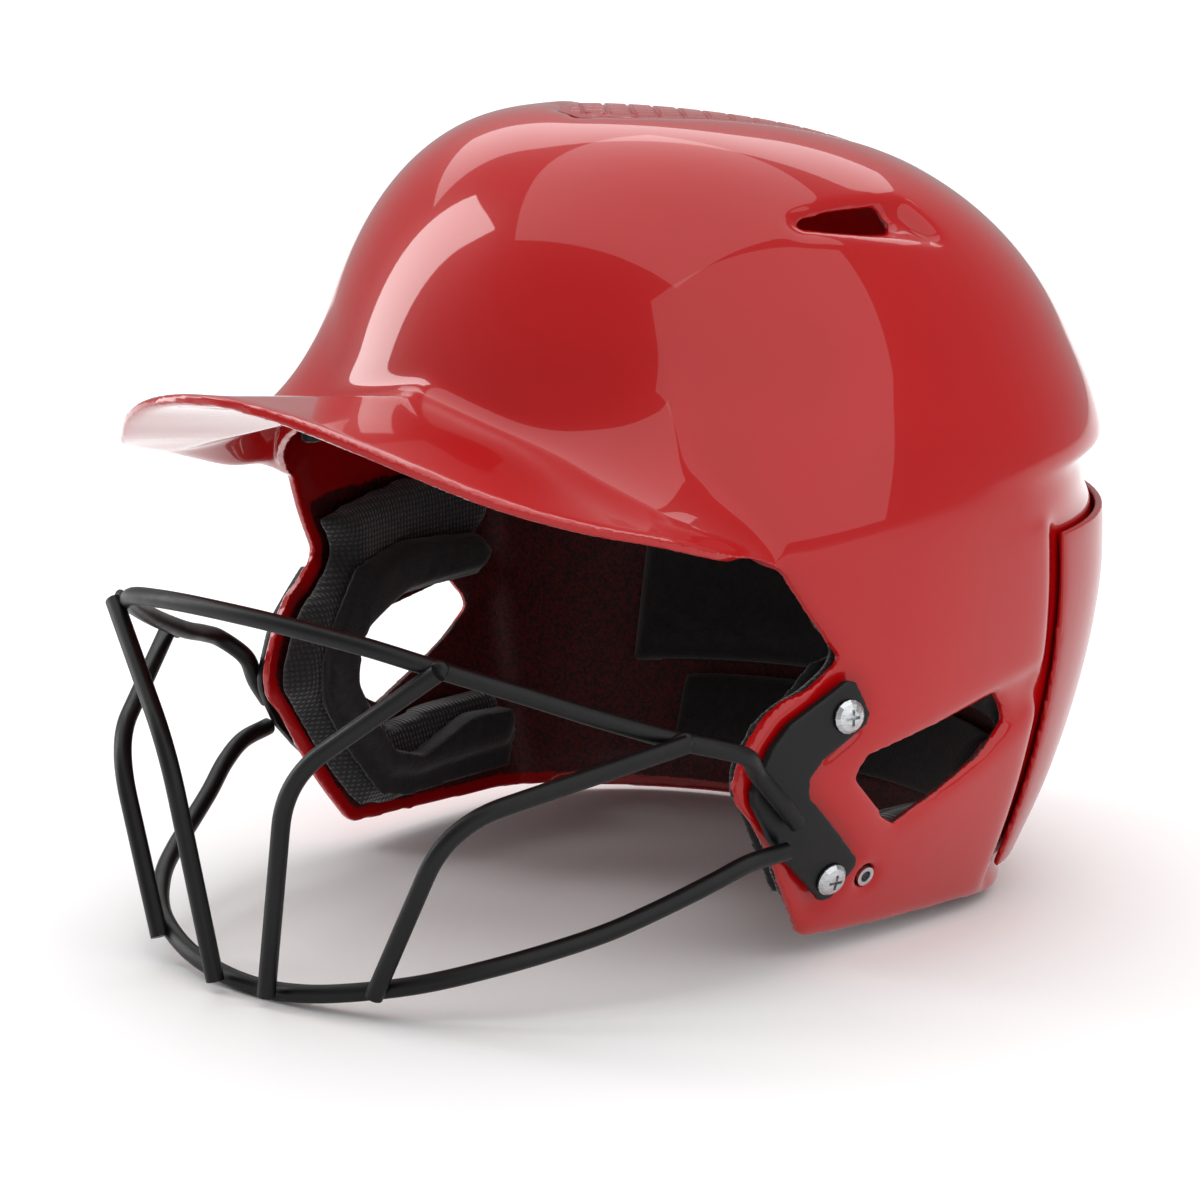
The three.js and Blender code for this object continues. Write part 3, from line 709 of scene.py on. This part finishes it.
def weld_bead(name, at, direction, length=7.0):
    """Small fillet of weld metal where two wires cross."""
    ball = bmesh.new()
    bmesh.ops.create_uvsphere(ball, u_segments=20, v_segments=12, radius=1.0)
    mesh = bpy.data.meshes.new(name)
    ball.to_mesh(mesh)
    ball.free()
    for poly in mesh.polygons:
        poly.use_smooth = True
    obj = bpy.data.objects.new(name, mesh)
    bpy.context.scene.collection.objects.link(obj)
    d = Vector(direction).normalized()
    place = d.to_track_quat("X", "Z").to_matrix().to_4x4()
    place.translation = Vector(metres(at))
    scale = np.diag([length / 2000, 0.0019, 0.0026, 1])
    mesh.transform(place @ Matrix(scale.tolist()))
    return obj


WIRE_OUT = -(PLATE_GAP + PLATE_T + 0.7 + WIRE_R)


def build_guard():
    flap = lambda x, z: on_flap((x, z), WIRE_OUT)[0]
    eye = [flap(84.5, 46.5), flap(90, 53), flap(96, 61), (106, 101.6, 67.8), (114, 99.6, 71),
           (126, 94, 74.9), (146, 84, 83), (163, 73.6, 90.6), (180, 58.9, 98.2),
           (190.6, 45, 103.4), (196.7, 30, 106.2), (199.9, 15, 107.7), (200.8, 0, 108.1)]
    jaw = [flap(86.5, 39.4), (101, 98, 36.8), (111, 94.6, 33.2), (124, 88, 27.6),
           (137.6, 81.3, 22.6), (150.5, 74.2, 19), (163.6, 65.2, 15.4), (177.6, 50.5, 10.6),
           (186.7, 32, 6.4), (189.8, 16.5, 3.7), (190.4, 0, 0.96 * WIRE_R)]
    flip = np.array([1, -1, 1])
    for name, half in (("eye_bar", eye), ("jaw_bar", jaw)):
        full = [np.array(p, float) for p in half]
        full += [p * flip for p in reversed(full[:-1])]
        finish_piece(wire(f"{name}_wire", full), "coat", "guard_black", name)
    bars = {"inner_bar": ((182.7, 61.9, 98.2), (200.2, 22.6, 66), (196, 9.9, 3.2), 14),
            "outer_bar": ((127.6, 99.8, 75.3), (181.4, 63.8, 57.2), (187, 41.5, 7.2), 16)}
    for name, (a, b, c, corner) in bars.items():
        for side, word in ((1, "left"), (-1, "right")):
            pts = [np.array(p, float) * [1, side, 1] for p in (a, b, c)]
            finish_piece(wire(f"{name}_{word}_wire", pts, corner=corner), "coat", "guard_black",
                         f"{name}_{word}")
            hoop = np.array(eye) * [1, side, 1]
            near = hoop[np.argmin(np.linalg.norm(hoop - pts[0], axis=1))]
            bead = weld_bead(f"{name}_{word}_weld", (pts[0] + near) / 2, pts[1] - pts[0])
            finish_piece(bead, "coat", "guard_black")


def build_plates():
    """Plates follow the flap; bevelled rims and bored holes."""
    a, lat = np.meshgrid(np.linspace(46, 82, 110), np.linspace(96, 172, 160))
    for side, word in ((1, "left"), (-1, "right")):
        flip = np.array([1, side, 1])
        plate = slab(f"mask_plate_{word}_formed", inset(a, lat, -PLATE_GAP - PLATE_T) * flip,
                     inset(a, lat, -PLATE_GAP) * flip)
        lo, hi = sorted((40 * side, 140 * side))
        boolean(plate, prism("plate_edge", PLATE, lo, hi, "y"), "INTERSECT")
        for place in SCREWS.values():
            boolean(plate, cross_pin("plate_hole", place, BOLT_HOLE_R, -8, 4, side))
        polish(plate, 0.4, rounds=5, normal_rounds=6)
        finish_piece(plate, "coat", "guard_black", f"mask_plate_{word}")


# ---------- padding ----------
EAR_PAD = [(74, 99.5), (69, 93.5), (65.6, 88.6), (68, 84.4), (76.8, 78.8), (84, 76.4), (88.7, 72),
           (92.6, 66.2), (96, 59.6), (96.6, 56.3), (95.9, 51.9), (89.8, 44.8), (82.3, 33),
           (75.5, 21.6), (67.5, 12), (52, 10.5), (10, 10), (0, 22), (2, 36), (30, 36), (52, 33),
           (66, 52), (60, 66), (40, 70), (8, 76), (-6, 88), (-4, 100), (30, 104)]
EAR_CUSHION = [(64, 84), (40, 88), (8, 85), (1, 78), (6, 71.5), (44, 71), (68, 64), (72, 52),
               (60, 30), (48, 26), (22, 33), (6, 32), (1, 24), (8, 15), (52, 14), (66, 17),
               (78, 34), (86, 48), (85, 60), (76, 72)]
EAR_OUT = SHELL_T + 2.8
EAR_MID = EAR_OUT + 9
EAR_IN = EAR_MID + 7.5


def crowned(name, outline, angles, lats, depth_out, depth_in, round_over, groove=None, side=1,
            cells=150):
    """Pad over the wall: its inner face domes up from the side-view outline, or from the rim of
    the angle and latitude rectangle; groove sinks sewn channels."""
    a, lat = np.meshgrid(np.linspace(*angles, cells), np.linspace(*lats, cells))
    p = surface(a, lat)
    flat = p[..., [0, 2]]
    d = inside(flat, outline) if outline else edge_distance(a, lat, angles, lats)
    rise = np.sqrt(1 - (1 - np.clip(d / round_over, 0, 1)) ** 2)
    depth = depth_out + (depth_in - depth_out) * (0.25 + 0.75 * rise)
    if groove is not None:
        depth = depth - groove(flat, d)
    flip = np.array([1, side, 1])
    pad = slab(name, inset(a, lat, depth_out) * flip, inset(a, lat, depth) * flip)
    if outline:
        lo, hi = sorted((30 * side, 140 * side))
        boolean(pad, prism("pad_edge", outline, lo, hi, "y"), "INTERSECT")
    return pad


def edge_distance(a, lat, angles, lats):
    """Distance in millimetres to the rim of an angle and latitude rectangle."""
    reach = 105 * math.pi / 180
    to_side = (np.minimum(a - min(angles), max(angles) - a)) * reach
    to_top = np.minimum(lat - min(lats), max(lats) - lat) * np.where(lat > 90, 1.0, 2.0)
    return np.minimum(to_side, to_top)


def tile_groove(pitch, slant, depth, width=1.1, margin=5.0):
    """Sewn channels in a basket-weave of slanted tiles."""
    c, s = math.cos(slant), math.sin(slant)

    def groove(flat, d):
        u = flat[..., 0] * c + flat[..., 1] * s
        v = -flat[..., 0] * s + flat[..., 1] * c
        row = np.floor(v / pitch)
        du = np.abs(((u + (row % 2) * pitch / 2) / pitch) % 1 - 0.5) * pitch
        dv = np.abs((v / pitch) % 1 - 0.5) * pitch
        line = np.maximum(ease(pitch / 2 - width, pitch / 2, du), ease(pitch / 2 - width, pitch / 2, dv))
        return depth * line * ease(margin - 2, margin, d)
    return groove


def soft(pad, voxel=1.4, rounds=8):
    polish(pad, voxel * (1.0), rounds=rounds, normal_rounds=2)


def build_pads():
    tiles = tile_groove(15, math.radians(38), 1.3)
    for side, word in ((1, "left"), (-1, "right")):
        base = crowned(f"ear_pad_{word}_knit", EAR_PAD, (40, 108), (82, 177), EAR_OUT, EAR_MID, 6,
                       side=side)
        soft(base)
        finish_piece(base, "knit", "pad_fabric", f"ear_pad_{word}", pad=0.7)
        cushion = crowned(f"ear_cushion_{word}_sewn", EAR_CUSHION, (40, 108), (88, 177),
                          EAR_MID + 0.2, EAR_IN, 5, tiles, side=side)
        soft(cushion, 1.0, 4)
        finish_piece(cushion, "cushion", "pad_fabric", f"ear_cushion_{word}", pad=0.8)
        wedge = crowned(f"side_pad_{word}_foam", None, (52, 84), (50, 80), SHELL_T + 1, SHELL_T + 10,
                        6, side=side)
        soft(wedge)
        finish_piece(wedge, "knit", "pad_foam", f"side_pad_{word}", pad=0.7)
    pads = {"forehead_pad": ((-38, 38), (50, 63), 1.0, 12.0, None),
            "rear_pad": ((128, 232), (92, 150), 5.2, 17.0, tile_groove(19, math.radians(45), 1.4)),
            "nape_pad": ((140, 220), (154, 176), 5.2, 13.0, None)}
    for name, (angles, lats, out, deep, groove) in pads.items():
        pad = crowned(f"{name}_sewn", None, angles, lats, SHELL_T + out, SHELL_T + deep, 7, groove,
                      cells=220)
        soft(pad, 1.1, 4)
        finish_piece(pad, "cushion", "pad_fabric", name, pad=0.8)
    ring = [(8 + (x - 8) * 0.8, y * 0.8) for x, y in full_crown()]

    def domed(plan):
        rise = np.sqrt(1 - (1 - np.clip(inside(plan, ring) / 9, 0, 1)) ** 2)
        return SHELL_T + 1 + 10 * (0.25 + 0.75 * rise)
    crown = crown_slab("crown_pad_foam", SHELL_T + 1, domed, 180, 120)
    boolean(crown, prism("pad_edge", ring, 120, 250, "z"), "INTERSECT")
    soft(crown)
    finish_piece(crown, "knit", "pad_foam", "crown_pad", pad=0.7)


def build_trim():
    """Rear cover with a rounded rim, and the crown panel with its raised basket weave."""
    a, lat = np.meshgrid(np.linspace(100.8, 259.2, 320), np.linspace(float(latitude(PANEL_TOP)), 174, 240))
    around = np.minimum(a, 360 - a)
    lift = 0.5 * ease(174, 150, lat) * ease(101, 118, around)
    cover = slab("rear_cover_formed", inset(a, lat, -0.2 - lift), inset(a, lat, PANEL_T - 0.9))
    polish(cover, 0.8, rounds=3)
    finish_piece(cover, "satin", "satin_red", "rear_cover")

    weave = tile_groove(7, math.radians(45), 0.8, 0.9)
    panel = crown_slab("crown_panel_woven", lambda p: 0.7 + weave(p, inside(p, full_crown())),
                       CROWN_SINK - 0.2, 720, 260)
    edge = [(8 + (x - 8) * 0.985, y * 0.985) for x, y in full_crown()]
    boolean(panel, prism("panel_edge", edge, 150, 250, "z"), "INTERSECT")
    finish_piece(panel, "satin", "satin_red", "crown_panel")


def build_hardware():
    for name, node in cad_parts.items():
        if "nut" in name or "insert" in name or "screw" in name:
            for place in node.material_slots:
                place.material = MATERIALS["steel"]


# ---------- stage ----------
def build_stage():
    floor = mesh_object("floor", [(-3000, -3000, 0), (3000, -3000, 0), (3000, 3000, 0),
                                  (-3000, 3000, 0)], [(0, 1, 2, 3)])
    floor.data.materials.append(MATERIALS["floor"])
    world = bpy.data.worlds.new("studio")
    world.use_nodes = True
    world.node_tree.nodes["Background"].inputs["Color"].default_value = (1, 1, 1, 1)
    world.node_tree.nodes["Background"].inputs["Strength"].default_value = 0.4
    bpy.context.scene.world = world
    helmet, backdrop = (40, 0, 110), (-1900, -1700, 0)
    # name: place in mm, what it aims at, (width, height) in m, radiance
    lamps = {"side_box": ((300, 1600, 900), helmet, (2.6, 1.8), 1.2),
             "top_box": ((0, 0, 2200), helmet, (3.0, 3.0), 1.5),
             "rim_strip": ((700, -1500, 700), helmet, (0.5, 1.6), 7.0),
             "back_box": ((-1500, -1400, 1700), backdrop, (3.0, 2.4), 2.0)}
    for name, (at, target, size, radiance) in lamps.items():
        aim = Vector(metres(target))
        power = radiance * math.pi * size[0] * size[1]
        lamp = bpy.data.lights.new(name, "AREA")
        lamp.shape, lamp.size, lamp.size_y, lamp.energy = "RECTANGLE", *size, power
        obj = bpy.data.objects.new(name, lamp)
        obj.location = metres(at)
        obj.rotation_euler = (aim - obj.location).to_track_quat("-Z", "Y").to_euler()
        bpy.context.scene.collection.objects.link(obj)


def build_camera():
    """Three-quarter front view, low, from a long lens."""
    azimuth, rise, distance = math.radians(42.5), math.radians(12.93), 1483.0
    target = np.array([53.0, 0.0, 86.0])
    out = np.array([math.cos(rise) * math.cos(azimuth), math.cos(rise) * math.sin(azimuth),
                    math.sin(rise)])
    data = bpy.data.cameras.new("camera")
    data.sensor_width, data.lens = 36, 156.1
    cam = bpy.data.objects.new("camera", data)
    cam.location = metres(target + out * distance)
    look = Vector(metres(target)) - cam.location
    cam.rotation_euler = look.to_track_quat("-Z", "Y").to_euler()
    bpy.context.scene.collection.objects.link(cam)
    bpy.context.scene.camera = cam


bpy.context.scene.view_settings.view_transform = "Standard"
make_materials()
build_camera()
build_stage()
finish_piece(build_shell(), None, "gloss_red", "shell")
build_trim()
build_guard()
build_plates()
build_hardware()
build_pads()
